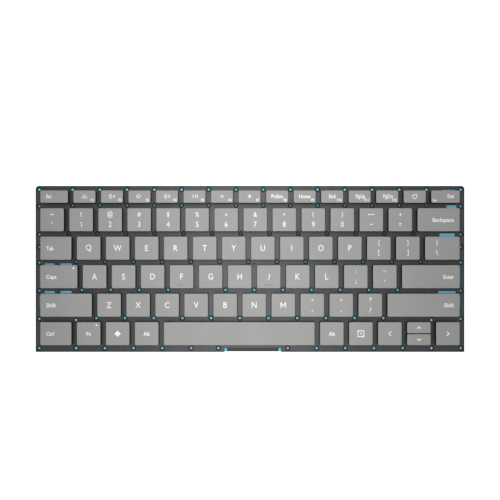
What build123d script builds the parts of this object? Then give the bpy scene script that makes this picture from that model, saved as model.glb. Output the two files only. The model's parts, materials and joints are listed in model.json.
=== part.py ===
from build123d import *
from collections import namedtuple
from math import asin, atan2, cos, degrees, hypot
import os

# A laptop keyboard module, in millimetres: +Z up, +X to the right, +Y towards the function row.
# The origin is under the middle of the base plate, on the underside of the liner.

# The key grid
KEY_PITCH = 19.0  # one key unit along a row
ROW_PITCH = 18.65  # from one full row to the next
ROW_UNITS = 14.64  # length of every row, in key units
KEY_GAP = 3.4  # between the keycaps of a row, at their foot
ROW_GAP = 3.3  # between the keycaps of two rows
FUNCTION_KEY_DEPTH = 8.3
STACK_GAP = 0.35  # between the two arrow keys that share one place

FUNCTION_UNITS = 0.9485
WIDE_UNITS = {"esc": 1.14, "tab": 1.26, "caps": 1.465, "shift_left": 1.965, "ctrl": 1.26}
# In each row one key takes the length that the others leave
FILLING_KEYS = ("del", "backspace", "backslash", "enter", "shift_right", "space")
ROW_KEYS = (
    "esc f1 f2 f3 f4 f5 f6 f7 f8 f9 f10 f11 f12 power del",
    "grave 1 2 3 4 5 6 7 8 9 0 minus equals backspace",
    "tab q w e r t y u i o p bracket_left bracket_right backslash",
    "caps a s d f g h j k l semicolon quote enter",
    "shift_left z x c v b n m comma period slash shift_right",
    "ctrl fn system alt_left space alt_right menu arrow_left arrow_up arrow_right",
)
STACKED_KEYS = ("arrow_up", "arrow_down")
# Command keys stand on their domes as one group, and every other key is a moving piece
COMMAND_KEYS = (
    ROW_KEYS[0] + " tab caps enter shift_left shift_right ctrl fn system alt_left alt_right menu "
    "arrow_left arrow_up arrow_down arrow_right"
).split()
HOMING_KEYS = ("f", "j")

# The base plate and its openings
SIDE_MARGIN = 4.6  # from the outer keycaps to the plate's edge
BACK_MARGIN = 3.5
FRONT_MARGIN = 4.9
PLATE_THICKNESS = 0.5
PLATE_CORNER = 2.2
HOLE_DIAMETER = 1.9
HOLE_SIDES = 6
EDGE_HOLE_INSET = 2.5
HOLE_LINE_SHIFT = 0.5  # from the middle of a gap to its line of holes
LOW_HOLE_SHIFT = 0.8  # the same for two holes on the other side of the middle
SIDE_HOLE_SHIFT = 1.0
SPACE_HOLES = (-32.0, -14.0, 32.0)  # front holes, from the middle of the space bar
WINDOW_UNDERLAP = 1.0  # how far a window goes in under its keycap
# Row, side, start from the row's end, length, and reach behind the keycap
WINDOWS = (
    (0, 1, 1.3, 9.2, 1.1),
    (1, 1, 0.6, 6.9, 2.3),
    (2, 1, 1.7, 10.3, 2.3),
    (3, -1, 1.3, 6.8, 1.2),
    (3, -1, 11.7, 7.7, 1.2),
    (4, -1, 1.3, 6.8, 1.5),
    (4, -1, 11.7, 7.7, 1.5),
    (4, 1, 0.9, 11.9, 1.4),
)
SLIT_WIDTH = 1.4
SLIT_INSET = 3.15  # from the plate's edge to the middle of a slit
# Row, side, length, and shift towards the back
SLITS = ((3, -1, 12.5, 0.0), (4, -1, 8.0, 2.0), (3, 1, 12.0, 0.0), (4, 1, 7.5, 2.5))
NOTCH_CENTRE = 1.8
NOTCH_WIDTH = 37.4
NOTCH_DEPTH = 2.65

# The sheets above and below the plate
LINER_THICKNESS = 0.1
LINER_INSET = 0.3
GUIDE_THICKNESS = 0.4
MEMBRANE_THICKNESS = 0.2
SHEET_EDGE = 1.3  # the sheets end this far inside the keycaps of their row
SHEET_BAND = 1.3  # width of the bands that join a sheet's strips
SHEET_HOLE_CLEARANCE = 0.45
LAMP_STRIP_WIDTH = 34.2
LAMP_COUNT = 4
LAMP_WIDTH = 3.0
LAMP_DEPTH = 1.0
LAMP_CLEARANCE = 0.1

# The keycaps and what carries them
KEY_TRAVEL = 1.3
TRAVEL_CLEARANCE = 0.2
CAP_HEIGHT = 1.9
CAP_WALL = 0.8
CAP_TOP = 0.7
CAP_DRAFT = 4.0  # degrees
CAP_CORNER = 0.55
HOMING_LENGTH = 5.2
HOMING_DEPTH = 0.9
HOMING_HEIGHT = 0.25
HOMING_OFFSET = 5.5  # in front of the middle of the key
SEAT_CLEARANCE = 0.05
DOME_BASE = 4.2
DOME_TAPER = 14.0  # degrees
LINK_THICKNESS = 0.6
LINK_ARM = 0.9
OUTER_LINK_WIDTH = 9.2
OUTER_LINK_LENGTH = 10.2
INNER_LINK_WIDTH = 6.6
INNER_LINK_LENGTH = 8.4

# The wires that keep wide keys level
WIRED_KEYS = ("enter", "shift_right", "shift_left")
WIRE_DIAMETER = 0.6
WIRE_LEG = 6.0  # from the pivot to the bar
WIRE_END_INSET = 6.0  # from the keycap's end to a leg
WIRE_PIN = 1.5
WIRE_BAR_OFFSET = 6.2  # in front of the middle of the key
CLIP_WIDTH = 3.0
CLIP_DEPTH = 0.7
CLIP_CLEARANCE = 0.25

# Worked out from the sizes above
KEY_DEPTH = ROW_PITCH - ROW_GAP
KEYS_WIDTH = ROW_UNITS * KEY_PITCH - KEY_GAP
PLATE_WIDTH = KEYS_WIDTH + 2 * SIDE_MARGIN
PLATE_DEPTH = BACK_MARGIN + FUNCTION_KEY_DEPTH + 5 * ROW_PITCH + FRONT_MARGIN
EDGE_HOLE_X = PLATE_WIDTH / 2 - EDGE_HOLE_INSET
EDGE_HOLE_Y = PLATE_DEPTH / 2 - EDGE_HOLE_INSET
GUIDE_Z = LINER_THICKNESS
PLATE_Z = GUIDE_Z + GUIDE_THICKNESS
MEMBRANE_Z = PLATE_Z + PLATE_THICKNESS
SEAT_Z = MEMBRANE_Z + MEMBRANE_THICKNESS
SKIRT_Z = SEAT_Z + KEY_TRAVEL + TRAVEL_CLEARANCE
TOP_Z = SKIRT_Z + CAP_HEIGHT
CEILING_Z = TOP_Z - CAP_TOP
SHEET_HALF_WIDTH = EDGE_HOLE_X - HOLE_DIAMETER / 2 - SHEET_HOLE_CLEARANCE

Key = namedtuple("Key", "name x y width depth")


def row_span(row):
    """Back and front edge of a row of keycaps."""
    back = PLATE_DEPTH / 2 - BACK_MARGIN
    if row == 0:
        return back, back - FUNCTION_KEY_DEPTH
    back -= FUNCTION_KEY_DEPTH + ROW_GAP + (row - 1) * ROW_PITCH
    return back, back - KEY_DEPTH


def lay_out_row(row):
    """The keys of one row, from left to right."""
    names = ROW_KEYS[row].split()
    unit = FUNCTION_UNITS if row == 0 else 1.0
    units = {name: WIDE_UNITS.get(name, unit) for name in names}
    filling = next(name for name in names if name in FILLING_KEYS)
    units[filling] += ROW_UNITS - sum(units.values())
    back, front = row_span(row)
    left = -ROW_UNITS * KEY_PITCH / 2
    keys = []
    for name in names:
        place = units[name] * KEY_PITCH
        keys.append(Key(name, left + place / 2, (back + front) / 2, place - KEY_GAP, back - front))
        left += place
    return keys


def split_stack(key):
    """Two half-height keys in the place of one."""
    depth = (key.depth - STACK_GAP) / 2
    shift = (key.depth - depth) / 2
    return [
        key._replace(name=name, y=key.y + side * shift, depth=depth)
        for name, side in zip(STACKED_KEYS, (1, -1))
    ]


PLACES = [lay_out_row(row) for row in range(len(ROW_KEYS))]
KEYS = {}
for place in sum(PLACES, []):
    for key in split_stack(place) if place.name in STACKED_KEYS else [place]:
        KEYS[key.name] = key
MOVING_KEYS = [key for name, key in KEYS.items() if name not in COMMAND_KEYS]


def gap_before(name):
    """Middle of the gap on the left of a key."""
    return KEYS[name].x - (KEYS[name].width + KEY_GAP) / 2


def row_gaps(row, leave_out=()):
    """Middles of all the gaps between the keys of a row."""
    return [gap_before(key.name) for key in PLACES[row][1:] if key.name not in leave_out]


def gap_line(row):
    """Middle of the gap in front of a row."""
    return row_span(row)[1] - ROW_GAP / 2


def inner_holes():
    """Fixing holes in the gaps between the keys, and in the rims between the corners."""
    lines = {gap_line(row) + HOLE_LINE_SHIFT: row_gaps(row) for row in (0, 1, 2)}
    lines[gap_line(3) + HOLE_LINE_SHIFT] = row_gaps(3, leave_out=("g",))
    lines[gap_line(4) + HOLE_LINE_SHIFT] = row_gaps(4)
    lines[gap_line(4) - LOW_HOLE_SHIFT] = [gap_before("fn"), gap_before("arrow_right")]
    lines[EDGE_HOLE_Y] = row_gaps(0)
    lines[-EDGE_HOLE_Y] = row_gaps(5) + [KEYS["space"].x + offset for offset in SPACE_HOLES]
    sides = [gap_line(row) for row in range(5)] + [KEYS["q"].y + SIDE_HOLE_SHIFT]
    return [(x, y) for y, across in lines.items() for x in across] + [
        (side * EDGE_HOLE_X, y) for y in sides for side in (-1, 1)
    ]


def build_keycap(key):
    """A moulded cap, hollow below, with a homing bar or wire clips where its key has them."""
    with BuildPart() as keycap:
        with BuildSketch(Plane.XY.offset(SKIRT_Z)) as foot:
            with Locations((key.x, key.y)):
                Rectangle(key.width, key.depth)
            chamfer(foot.vertices(), CAP_CORNER)
        extrude(amount=CAP_HEIGHT, taper=CAP_DRAFT)
        with BuildSketch(Plane.XY.offset(SKIRT_Z)):
            with Locations((key.x, key.y)):
                Rectangle(key.width - 2 * CAP_WALL, key.depth - 2 * CAP_WALL)
        extrude(amount=CEILING_Z - SKIRT_Z, mode=Mode.SUBTRACT)
        if key.name in HOMING_KEYS:
            with BuildSketch(Plane.XY.offset(TOP_Z)):
                with Locations((key.x, key.y - HOMING_OFFSET)):
                    Rectangle(HOMING_LENGTH, HOMING_DEPTH)
            extrude(amount=HOMING_HEIGHT)
        if key.name == "space":
            clip_y = key.y - WIRE_BAR_OFFSET + WIRE_DIAMETER / 2 + CLIP_CLEARANCE + CLIP_DEPTH / 2
            with BuildSketch(Plane.XY.offset(SKIRT_Z)):
                with Locations((key.x - key.width / 3, clip_y), (key.x + key.width / 3, clip_y)):
                    Rectangle(CLIP_WIDTH, CLIP_DEPTH)
            extrude(amount=CEILING_Z - SKIRT_Z)
    return keycap.part


def build_link(width, length, side):
    """One U-shaped link of a scissor, leaning so that it just fits under a keycap."""
    rise = (CEILING_Z - SEAT_Z) / 2 - SEAT_CLEARANCE
    half = length / 2
    lean = asin(rise / hypot(half, LINK_THICKNESS / 2)) - atan2(LINK_THICKNESS / 2, half)
    plane = Plane.XY.offset((SEAT_Z + CEILING_Z) / 2).rotated((side * degrees(lean), 0, 0))
    with BuildPart() as link:
        with BuildSketch(plane):
            Rectangle(width, length)
            with Locations((0, side * LINK_ARM)):
                Rectangle(width - 2 * LINK_ARM, length, mode=Mode.SUBTRACT)
        extrude(amount=LINK_THICKNESS / 2, both=True)
    return link.part


def build_wire(key, pins):
    """A bent wire: a bar under the front of a keycap, on two legs that turn about their ends."""
    radius = WIRE_DIAMETER / 2
    lean = asin(KEY_TRAVEL / WIRE_LEG)
    pivot_y = key.y - WIRE_BAR_OFFSET + WIRE_LEG * cos(lean)
    pivot = (key.x, pivot_y, SEAT_Z + radius + SEAT_CLEARANCE)
    plane = Plane(pivot).rotated((-degrees(lean), 0, 0))
    width = key.width - 2 * WIRE_END_INSET
    with BuildPart() as wire:
        with BuildSketch(plane):
            with Locations((0, -WIRE_LEG / 2)):
                Rectangle(width, WIRE_LEG + WIRE_DIAMETER)
            with Locations((0, -WIRE_LEG / 2 + WIRE_DIAMETER)):
                Rectangle(width - 2 * WIRE_DIAMETER, WIRE_LEG + WIRE_DIAMETER, mode=Mode.SUBTRACT)
        extrude(amount=radius, both=True)
        if pins:
            for side in (-1, 1):
                end = Plane(pivot, x_dir=(0, 1, 0), z_dir=(side, 0, 0)).offset(width / 2)
                with BuildSketch(end):
                    Circle(radius)
                extrude(amount=WIRE_PIN)
    return wire.part


def build_sheet(z, thickness):
    """A sheet of strips, one under each row, that leaves the holes and windows between them open."""
    back = row_span(0)[0] - SHEET_EDGE
    front = row_span(5)[1] + SHEET_EDGE
    with BuildPart() as sheet:
        with BuildSketch(Plane.XY.offset(z)):
            with Locations((0, (back + front) / 2)):
                Rectangle(2 * SHEET_HALF_WIDTH, back - front)
            with Locations(*[(0, gap_line(row)) for row in range(5)]):
                Rectangle(
                    2 * (SHEET_HALF_WIDTH - SHEET_BAND),
                    ROW_GAP + 2 * SHEET_EDGE,
                    mode=Mode.SUBTRACT,
                )
        extrude(amount=thickness)
    return sheet.part


def write_piece(piece, name):
    """One named STEP file for one piece, or for one group of like pieces."""
    piece.label = name
    export_step(piece, f"parts/{name}.step")


# Release liner: a thin film over the whole back
with BuildPart() as release_liner:
    with BuildSketch() as film:
        Rectangle(PLATE_WIDTH - 2 * LINER_INSET, PLATE_DEPTH - 2 * LINER_INSET)
        chamfer(film.vertices().group_by(Axis.Y)[-1], PLATE_CORNER)
    extrude(amount=LINER_THICKNESS)

# Lamp strip: a small board at the front edge, with lamps that face the light guide
with BuildPart() as lamp_strip:
    strip_back = row_span(5)[1] + SHEET_EDGE - LAMP_CLEARANCE
    board_back = strip_back - LAMP_DEPTH
    board_front = -PLATE_DEPTH / 2 + LINER_INSET
    lamp_pitch = LAMP_STRIP_WIDTH / LAMP_COUNT
    with BuildSketch(Plane.XY.offset(GUIDE_Z)):
        with Locations((NOTCH_CENTRE, (board_back + board_front) / 2)):
            Rectangle(LAMP_STRIP_WIDTH, board_back - board_front)
        with Locations((NOTCH_CENTRE, strip_back - LAMP_DEPTH / 2)):
            with GridLocations(lamp_pitch, 1, LAMP_COUNT, 1):
                Rectangle(LAMP_WIDTH, LAMP_DEPTH)
    extrude(amount=GUIDE_THICKNESS)

# Base plate: round fixing holes at the corners, six-sided ones elsewhere, windows, slits and a notch
with BuildPart() as base_plate:
    with BuildSketch(Plane.XY.offset(PLATE_Z)) as blank:
        Rectangle(PLATE_WIDTH, PLATE_DEPTH)
        fillet(blank.vertices().group_by(Axis.Y)[-1], PLATE_CORNER)
        with Locations((NOTCH_CENTRE, (NOTCH_DEPTH - PLATE_DEPTH) / 2)):
            Rectangle(NOTCH_WIDTH, NOTCH_DEPTH, mode=Mode.SUBTRACT)
        with GridLocations(2 * EDGE_HOLE_X, 2 * EDGE_HOLE_Y, 2, 2):
            Circle(HOLE_DIAMETER / 2, mode=Mode.SUBTRACT)
        with Locations(*inner_holes()):
            RegularPolygon(HOLE_DIAMETER / 2, HOLE_SIDES, mode=Mode.SUBTRACT)
        for row, side, start, length, reach in WINDOWS:
            middle = KEYS_WIDTH / 2 - start - length / 2
            with Locations((side * middle, row_span(row)[0] + (reach - WINDOW_UNDERLAP) / 2)):
                Rectangle(length, reach + WINDOW_UNDERLAP, mode=Mode.SUBTRACT)
        for row, side, length, shift in SLITS:
            with Locations((side * (PLATE_WIDTH / 2 - SLIT_INSET), sum(row_span(row)) / 2 + shift)):
                Rectangle(SLIT_WIDTH, length, mode=Mode.SUBTRACT)
    extrude(amount=PLATE_THICKNESS)

# Rubber domes: one under each key
with BuildPart() as rubber_domes:
    with BuildSketch(Plane.XY.offset(SEAT_Z)):
        with Locations(*[(key.x, key.y) for key in KEYS.values()]):
            Rectangle(DOME_BASE, DOME_BASE)
    extrude(amount=CEILING_Z - SEAT_Z - SEAT_CLEARANCE, taper=DOME_TAPER)

# Scissor links: one outer and one inner link under each moving key
outer_link = build_link(OUTER_LINK_WIDTH, OUTER_LINK_LENGTH, 1)
inner_link = build_link(INNER_LINK_WIDTH, INNER_LINK_LENGTH, -1)
with BuildPart() as scissor_outer_links:
    with Locations(*[(key.x, key.y) for key in MOVING_KEYS]):
        add(outer_link)
with BuildPart() as scissor_inner_links:
    with Locations(*[(key.x, key.y) for key in MOVING_KEYS]):
        add(inner_link)

# Wires under the wide command keys
wires = [build_wire(KEYS[name], pins=False) for name in WIRED_KEYS]
with BuildPart() as stabiliser_wires:
    add(wires)

# Keycaps
keycaps = {name: build_keycap(key) for name, key in KEYS.items()}
with BuildPart() as command_keycaps:
    add([keycaps[name] for name in COMMAND_KEYS])

os.makedirs("parts", exist_ok=True)
write_piece(release_liner.part, "release_liner")
write_piece(lamp_strip.part, "lamp_strip")
write_piece(build_sheet(GUIDE_Z, GUIDE_THICKNESS), "light_guide")
write_piece(base_plate.part, "base_plate")
write_piece(build_sheet(MEMBRANE_Z, MEMBRANE_THICKNESS), "membrane")
write_piece(rubber_domes.part, "rubber_domes")
write_piece(scissor_outer_links.part, "scissor_outer_links")
write_piece(scissor_inner_links.part, "scissor_inner_links")
write_piece(stabiliser_wires.part, "stabiliser_wires")
write_piece(build_wire(KEYS["space"], pins=True), "space_wire")
write_piece(command_keycaps.part, "command_keycaps")
for key in MOVING_KEYS:
    write_piece(keycaps[key.name], f"key_{key.name}")
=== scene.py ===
import json
import math
from collections import namedtuple

import bmesh
import bpy
from bpy.props import FloatProperty, FloatVectorProperty, PointerProperty
from mathutils import Matrix, Vector

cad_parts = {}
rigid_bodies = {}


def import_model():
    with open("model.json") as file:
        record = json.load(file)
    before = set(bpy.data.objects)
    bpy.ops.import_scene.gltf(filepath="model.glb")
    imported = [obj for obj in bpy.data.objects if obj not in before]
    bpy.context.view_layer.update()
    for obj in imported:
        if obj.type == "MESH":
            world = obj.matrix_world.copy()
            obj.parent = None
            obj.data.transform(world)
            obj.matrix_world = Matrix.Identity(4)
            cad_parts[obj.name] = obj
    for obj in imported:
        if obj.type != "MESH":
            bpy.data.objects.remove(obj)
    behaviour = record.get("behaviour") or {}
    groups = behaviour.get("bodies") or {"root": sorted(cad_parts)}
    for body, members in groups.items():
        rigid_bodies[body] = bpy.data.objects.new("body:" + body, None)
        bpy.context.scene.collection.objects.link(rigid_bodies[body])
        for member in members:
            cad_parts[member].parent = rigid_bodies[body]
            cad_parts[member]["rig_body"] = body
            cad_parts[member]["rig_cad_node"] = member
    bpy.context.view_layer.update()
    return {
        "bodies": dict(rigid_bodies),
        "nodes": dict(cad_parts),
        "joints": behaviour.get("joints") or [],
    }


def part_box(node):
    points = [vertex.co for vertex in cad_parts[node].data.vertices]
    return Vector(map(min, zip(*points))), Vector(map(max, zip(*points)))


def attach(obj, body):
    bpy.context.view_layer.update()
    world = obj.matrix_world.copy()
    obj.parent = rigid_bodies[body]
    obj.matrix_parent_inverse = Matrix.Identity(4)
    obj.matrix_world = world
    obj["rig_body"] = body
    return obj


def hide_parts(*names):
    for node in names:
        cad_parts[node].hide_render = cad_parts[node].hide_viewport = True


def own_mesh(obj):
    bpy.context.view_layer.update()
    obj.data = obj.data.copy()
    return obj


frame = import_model()

bl_info = {
    "name": "Laptop Keyboard",
    "version": (1, 0, 0),
    "blender": (4, 5, 0),
    "location": "3D View > Sidebar > Keyboard",
    "description": "Dresses the packed keyboard: keycaps, plate, films, domes, scissors and wires",
    "category": "Object",
}

MM = 0.001
MERGE = 0.001 * MM  # points nearer than this are one point

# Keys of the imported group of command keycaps, row by row from the back and from left to right
COMMAND_KEYS = (
    "esc f1 f2 f3 f4 f5 f6 f7 f8 f9 f10 f11 f12 power del tab caps enter shift_left shift_right "
    "ctrl fn system alt_left alt_right menu arrow_left arrow_up arrow_down arrow_right"
).split()
HOMING_KEYS = ("f", "j")
WALL_SLOPE = 0.5  # a face whose normal points less far up or down than this is a wall
LEVEL = 0.99  # least upward part of the normal of a face that counts as level
# Faces of a keycap below that slope get the painted shade of its walls
TOP_SLOPE = 0.3  # faces of a keycap that look less far up than this belong to its dark walls

# Two marks on one key, the upper one first
PAIRED_MARKS = {
    "grave": "~`", "1": "!1", "2": "@2", "3": "#3", "4": "$4", "5": "%5", "6": "^6", "7": "&7",
    "8": "*8", "9": "(9", "0": ")0", "minus": "_-", "equals": "+=", "bracket_left": "{[",
    "bracket_right": "}]", "backslash": "|\\", "semicolon": ":;", "quote": "\"'", "comma": "<,",
    "period": ">.", "slash": "?/",
}
MARK_SHIFTS = {"`": 1.1, "'": 0.6, "\"": 0.3, ";": -0.5, ",": -0.9, ".": -0.9}  # up or down, in millimetres
# Words, and the side of the key that they keep to
WORDS = {
    "esc": ("Esc", -1), "tab": ("Tab", -1), "caps": ("Caps", -1), "shift_left": ("Shift", -1),
    "ctrl": ("Ctrl", -1), "fn": ("Fn", 0), "alt_left": ("Alt", 0), "alt_right": ("Alt", 0),
    "backspace": ("Backspace", 1), "enter": ("Enter", 1), "shift_right": ("Shift", 1), "del": ("Del", 1),
    "f8": ("PrtScn", 0), "f9": ("Home", 0), "f10": ("End", 0), "f11": ("PgUp", 0), "f12": ("PgDn", 0),
}
SMALL_WORDS = {"del": ("Ins", -1), **{f"f{n}": (f"F{n}", 1) for n in range(1, 13)}}
LAMP_KEYS = ("caps", "fn")  # keys with a small indicator window
TEXT_ALIGN = {-1: "LEFT", 0: "CENTER", 1: "RIGHT"}
CAPITAL_SHARE = 0.682  # height of a capital in the built-in font, at size 1
# Widths of letters and words that differ from the others
WIDTHS = {"S": 1.14, "Shift": 1.15, "Backspace": 1.06, "Caps": 1.05, "Esc": 0.9}
WORD_SHIFTS = {"PgUp": 0.5, "PgDn": 0.5}  # to the right, in millimetres
# How far letters, words and what stands in the function row lie behind the key's middle, in millimetres
LETTER_LIFT, WORD_LIFT, FUNCTION_LIFT = 0.1, -0.1, 0.2
# Boldness of single marks and of second words, as shares of that of the words
MARK_BOLD, SMALL_BOLD = 0.4, 0.8

HOMING_END = 0.45  # radius of a homing bar's ends, as a share of its depth
HOMING_EDGE = 0.7  # radius of its upper edges, as a share of its height
CLIP_PLACE = 1 / 3  # of the long key's width, from its middle to each of its clips
HOLE_SLACK = 1.1  # an opening less than this many hole diameters wide is a hole
PIT_DROP = 0.75 * MM  # how far the pit lies in front of the middle of its gap
GUIDE_DOT = 0.8 * MM  # from one dot of the light guide to the next
# Height of a dome's foot, then the rise and narrowing of each step over it, as shares
DOME_FOOT = 0.12
DOME_STEPS = ((0.1, 0.9), (0.5, 0.77), (0.28, 0.98))
NEAREST_SEEN = 0.01  # of the camera's height

# Painted shade on the film's face towards the plate, from the front edge to the back edge: how far its pale
# blue is darkened towards deep blue where the keys shade it
FILM_PAINTED_SHADE = (
    (0.02, 0.22), (0.2, 0.3), (0.37, 0.42), (0.54, 0.82),
    (0.71, 1.0), (0.87, 0.88), (0.98, 0.55), (1.0, 0.0),
)
FILM_SLANT = 0.025  # how much further back the sides count as lying, as a share of the film's depth
# Shares of the film's half width between which the painted shade fades,
# and how far out that is shifted from front to back
FILM_FADE = (0.71, 0.72)
FILM_LEAN = 0.207
# Shares of it between which the painted shade comes back under the side rims, and how dark it is there
FILM_RIM = (0.962, 0.968)
FILM_RIM_PAINTED_SHADE = 0.56
# Painted shade of the rows at which the side rims get all of their own painted shade
FILM_RIM_FULL = 0.5  # depth of blue between the sides at which the rims have all of theirs

Key = namedtuple("Key", "name body low high")


def length(name, description, millimetres):
    """A size that a user may change."""
    return FloatProperty(
        name=name, description=description, default=millimetres * MM, unit="LENGTH", precision=5
    )


def colour(name, description, default):
    """A linear colour that a user may change."""
    return FloatVectorProperty(
        name=name, description=description, default=default, subtype="COLOR", min=0.0, max=1.0
    )


class KeyboardSizes(bpy.types.PropertyGroup):
    """Sizes of the dressed pieces"""

    cap_corner: length("Cap corner", "Radius of a keycap's upright corners", 0.85)
    cap_edge: length("Cap edge", "Radius of the edge round a keycap's top", 0.2)
    cap_draft: length("Cap draft", "How far a keycap's top stands in from its foot", 0.13)
    cap_wall: length("Cap wall", "Thickness of a keycap's walls", 0.8)
    cap_roof: length("Cap roof", "Thickness of a keycap's top", 0.7)
    homing_length: length("Homing bar", "Length of the raised bar on the two home keys", 5.2)
    homing_depth: length("Homing depth", "Depth of that bar", 0.9)
    homing_offset: length("Homing offset", "How far that bar lies in front of the key's middle", 5.5)
    clip_width: length("Clip width", "Width of the clips behind the long key's wire", 3.0)
    clip_depth: length("Clip depth", "Depth of those clips", 0.7)
    clip_offset: length("Clip offset", "How far those clips lie in front of the key's middle", 5.3)
    ink: length("Ink", "Height of the legends over the keycap", 0.012)
    letter: length("Letter", "Height of the letters", 3.8)
    digit: length("Digit", "Height of the digits", 3.4)
    sign: length("Sign", "Height of the brackets and other signs", 2.95)
    word: length("Word", "Height of a capital in the words", 2.5)
    function_word: length("Function word", "Height of a capital in the words of the function row", 2.3)
    small_word: length("Small word", "Height of a capital in the second words", 1.65)
    upper_mark: length("Upper mark", "How far an upper mark lies behind the key's middle", 3.4)
    lower_mark: length("Lower mark", "How far a lower mark lies in front of the key's middle", 3.0)
    word_inset: length("Word inset", "From a word to the side of its keycap", 3.95)
    small_inset: length("Small inset", "From a second word to the sides of its keycap", 1.05)
    bold: length("Bold", "How far the strokes of the words are widened on each side", 0.08)
    narrowing: FloatProperty(
        name="Narrowing", description="Width of the lettering as a share of the built-in font's",
        default=0.88, subtype="FACTOR",
    )
    stroke: length("Stroke", "Line width of the drawn signs", 0.5)
    mark: length("Mark", "Width of the plain mark on the system key", 4.2)
    lamp: length("Lamp", "Diameter of an indicator window", 1.2)
    lamp_inset: length("Lamp inset", "From an indicator window to the right side of its keycap", 2.6)
    lamp_drop: length("Lamp drop", "From an indicator window to the back of its keycap", 2.15)
    hole: length("Hole", "Diameter of the fixing holes", 1.9)
    ring: length("Ring", "Diameter of the dark ring sunk round each hole", 3.4)
    ring_depth: length("Ring depth", "Depth of that ring", 0.12)
    pit: length("Pit", "Diameter of the small blind pit behind two home keys", 1.3)
    pit_depth: length("Pit depth", "Depth of that pit", 0.35)
    plate_corner: length("Plate corner", "Radius of the plate's two back corners", 2.2)
    plate_edge: length("Plate edge", "Radius of the plate's upper edge", 0.4)
    # The band inside the plate's edge carries the painted shade of the rings
    plate_rim: length("Plate rim", "Width of the dull band inside that edge", 0.3)
    window_corner: length("Window corner", "Radius in the corners of windows and slits", 0.4)
    wire: length("Wire", "Diameter of the wires under wide keys", 0.6)
    wire_leg: length("Wire leg", "From a wire's pivot to its bar", 6.0)
    wire_pin: length("Wire pin", "Length of the pins that the long wire turns on", 1.5)
    wire_bend: length("Wire bend", "Radius of the bends in a wire", 0.9)
    link_edge: length("Link edge", "Radius of the edges of the scissor links", 0.1)
    link_pivot: length("Link pivot", "Diameter of the pivot that joins two links", 0.5)


class KeyboardColours(bpy.types.PropertyGroup):
    """Colours of the finishes"""

    cap: colour("Keycap", "Matt grey of the moulded keycaps", (0.345, 0.345, 0.338))
    # Painted shade: the dark colour of the keycaps' walls and undersides, where they lie in shade
    skirt: colour("Skirt", "Dark foot of the keycaps' walls", (0.008, 0.008, 0.009))
    bar: colour("Homing bar", "Worn bar on the two home keys", (0.27, 0.272, 0.276))
    ink: colour("Ink", "White of the legends", (0.95, 0.96, 0.955))
    paint: colour("Paint", "Dark semi-gloss paint of the plate", (0.016, 0.017, 0.02))
    # Painted shade: black for the plate's sunk rings, cut walls and edge band
    ring: colour("Ring", "Black of the rings round the holes", (0.008, 0.009, 0.01))
    film: colour("Film", "Pale blue of the release liner", (0.26, 0.76, 1.0))
    # Painted shade: the darker blue that the liner's face towards the plate turns to where the keys shade
    # it
    painted_shade_film: colour("Deep film", "Deeper blue of the liner under the back rows", (0.018, 0.09, 0.135))
    board: colour("Board", "Black of the lamp board", (0.045, 0.046, 0.048))
    guide: colour("Light guide", "Milky sheet under the plate", (0.72, 0.76, 0.76))
    rubber: colour("Rubber", "Silicone of the domes", (0.6, 0.6, 0.57))
    link: colour("Link", "Natural plastic of the scissor links", (0.62, 0.62, 0.6))
    steel: colour("Steel", "Drawn steel of the wires", (0.56, 0.56, 0.57))
    floor: colour("Floor", "Plain pale floor", (0.82, 0.82, 0.82))


class KeyboardStage(bpy.types.PropertyGroup):
    """Camera and light"""

    camera_height: length("Camera height", "From the keycaps up to the camera", 320.0)
    camera_back: length("Camera back", "How far behind the middle the camera stands", 0.4)
    view_width: length("View width", "Width of the picture at the keycaps' tops", 327.2)
    lamp_height: length("Lamp height", "Height of the soft lamp over the floor", 265.0)
    lamp_back: length("Lamp back", "How far behind the middle the soft lamp hangs", 20.0)
    lamp_left: length("Lamp left", "How far to the left of the middle the soft lamp hangs", 6.0)
    lamp_width: length("Lamp width", "Width of the soft lamp", 140.0)
    lamp_depth: length("Lamp depth", "Depth of the soft lamp", 440.0)
    floor_width: length("Floor width", "Width of the floor", 6000.0)
    floor_gap: length("Floor gap", "From the floor up to the keyboard's underside", 0.02)
    picture_drop: FloatProperty(
        name="Picture drop", description="Share of the picture by which the object lies under its middle",
        default=0.0366, subtype="FACTOR",
    )
    lamp_power: FloatProperty(
        name="Lamp power", description="Power of the soft lamp", default=0.95, unit="POWER"
    )
    ambient: FloatProperty(name="Ambient", description="Strength of the light from all round", default=0.1)
    floor_glow: FloatProperty(
        name="Floor glow", default=0.66,
        description="What the camera sees added to the lit floor, to make it white",
    )


def deselect():
    """Leave edit mode, with nothing selected."""
    if bpy.context.mode != "OBJECT":
        bpy.ops.object.mode_set(mode="OBJECT")
    bpy.ops.object.select_all(action="DESELECT")


def activate(*pieces):
    """Select these pieces alone, the first one as the active one."""
    deselect()
    for piece in pieces:
        piece.select_set(True)
    bpy.context.view_layer.objects.active = pieces[0]


def edit(piece):
    """Open a piece in edit mode."""
    activate(piece)
    bpy.ops.object.mode_set(mode="EDIT")


def select_faces(piece, test):
    """In edit mode, select just the faces that pass a test."""
    bpy.ops.mesh.select_mode(type="FACE")
    bpy.ops.mesh.select_all(action="DESELECT")
    for face in bmesh.from_edit_mesh(piece.data).faces:
        face.select_set(test(face))
    bmesh.update_edit_mesh(piece.data)


def select_edges(piece, test):
    """In edit mode, select just the edges whose two ends pass a test."""
    bpy.ops.mesh.select_mode(type="EDGE")
    bpy.ops.mesh.select_all(action="DESELECT")
    for edge in bmesh.from_edit_mesh(piece.data).edges:
        edge.select_set(test(edge.verts[0].co, edge.verts[1].co))
    bmesh.update_edit_mesh(piece.data)


def upright(start, end):
    """Whether an edge runs straight up."""
    return (start - end).xy.length < MERGE


def level_at(height):
    """A test for edges that lie at one height."""
    return lambda start, end: max(abs(start.z - height), abs(end.z - height)) < MERGE


def face_up(face):
    return face.normal.z > LEVEL


def face_down(face):
    return face.normal.z < -LEVEL


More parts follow.
